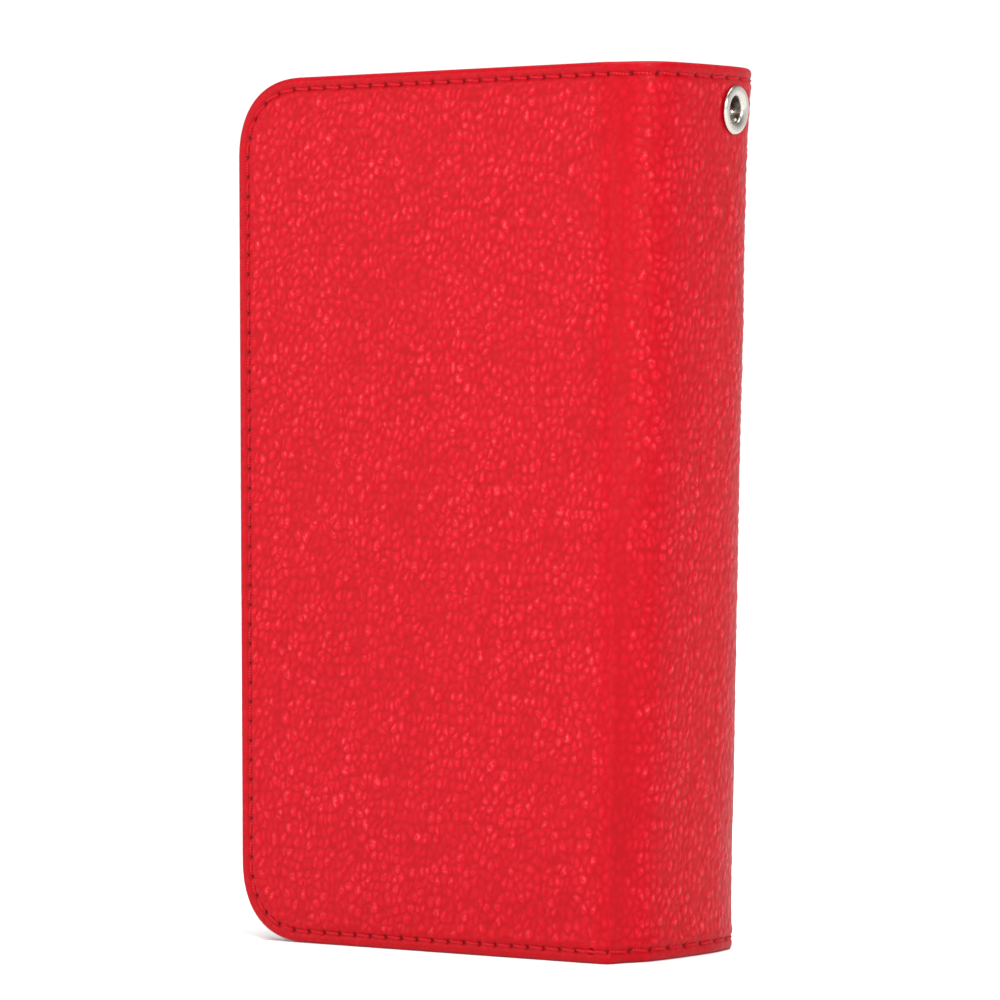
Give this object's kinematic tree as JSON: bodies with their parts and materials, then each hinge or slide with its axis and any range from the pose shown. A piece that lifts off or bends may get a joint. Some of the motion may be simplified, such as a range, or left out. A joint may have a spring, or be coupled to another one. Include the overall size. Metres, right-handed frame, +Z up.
{
  "type": "phone wallet case",
  "caption": "Book-style phone wallet case in pebbled leatherette with a folding spine, a magnetic slide-out phone shell, a zip page, card slots and a spine eyelet.",
  "frame": {"origin": "middle of the footprint of the closed, standing case", "axes": "+Z up along the spine, +Y out of the back cover, -Y out of the front cover, -X out of the spine, +X out of the free edge"},
  "size_m": [0.1002, 0.0402, 0.17],
  "materials": {
    "leather": "pebbled, semi-gloss",
    "thread": "twisted, satin",
    "board": "matt",
    "lining": "brushed microfibre, matt",
    "magnet": "plated, satin",
    "nickel": "polished nickel",
    "steel": "satin",
    "shell_plastic": "soft-touch, matt",
    "shell_felt": "brushed microfibre, matt",
    "tape": "woven, matt",
    "clear_film": "clear, glossy"
  },
  "bodies": {
    "back_cover": {"back_leather": "leather", "back_board": "board", "back_lining": "lining", "back_thread": "thread", "mount_magnet_1": "magnet", "mount_magnet_2": "magnet", "mount_magnet_3": "magnet", "mount_magnet_4": "magnet", "page_hinge_strip": "lining"},
    "spine": {"spine_leather": "leather", "spine_stiffener": "board", "spine_lining": "lining", "spine_thread_top": "thread", "spine_thread_bottom": "thread", "eyelet": "nickel", "eyelet_washer": "nickel"},
    "front_cover": {"front_leather": "leather", "front_board": "board", "front_lining": "lining", "front_thread": "thread", "closure_magnet_1": "magnet", "closure_magnet_2": "magnet", "note_pocket": "leather", "card_slot_1": "leather", "card_slot_2": "leather", "card_slot_3": "leather", "card_slot_4": "leather", "card_binding": "leather", "id_frame": "leather", "id_window": "clear_film"},
    "page": {"page_back_wall": "leather", "page_front_wall": "leather", "page_gusset": "tape", "page_slip_pocket": "leather", "page_keeper_1": "steel", "page_keeper_2": "steel", "zip_tape_back": "tape", "zip_tape_front": "tape", "zip_teeth_back": "nickel", "zip_teeth_front": "nickel", "zip_bottom_stop": "nickel", "zip_top_stop": "nickel"},
    "slider": {"zip_slider": "nickel"},
    "pull": {"zip_pull": "nickel"},
    "shell": {"phone_shell": "shell_plastic", "steel_plate": "steel", "shell_back_skin": "shell_felt"}
  },
  "joints": [
    {"name": "spine_fold", "type": "hinge", "parent": "back_cover", "child": "spine", "pos_m": [-0.0409, 0.02, 0.085], "axis": [0, 0, -1], "range_deg": [0, 90]},
    {"name": "cover_fold", "type": "hinge", "parent": "spine", "child": "front_cover", "pos_m": [-0.0409, -0.02, 0.085], "axis": [0, 0, -1], "range_deg": [0, 90]},
    {"name": "page_turn", "type": "hinge", "parent": "back_cover", "child": "page", "pos_m": [-0.0391, 0.0053, 0.085], "axis": [0, 0, -1], "range_deg": [0, 90]},
    {"name": "zip_slide", "type": "slide", "parent": "page", "child": "slider", "axis": [0, 0, -1], "range_m": [0, 0.115]},
    {"name": "zip_pull_swing", "type": "hinge", "parent": "slider", "child": "pull", "pos_m": [0.04655, -0.0009, 0.1505], "axis": [0, -1, 0], "range_deg": [0, 160]},
    {"name": "shell_slide", "type": "slide", "parent": "back_cover", "child": "shell", "axis": [0, 0, 1], "range_m": [0, 0.165]}
  ],
  "couplings": [
    {"joint": "cover_fold", "follows": "spine_fold", "ratio": 1},
    {"joint": "page_turn", "follows": "spine_fold", "ratio": 1}
  ]
}
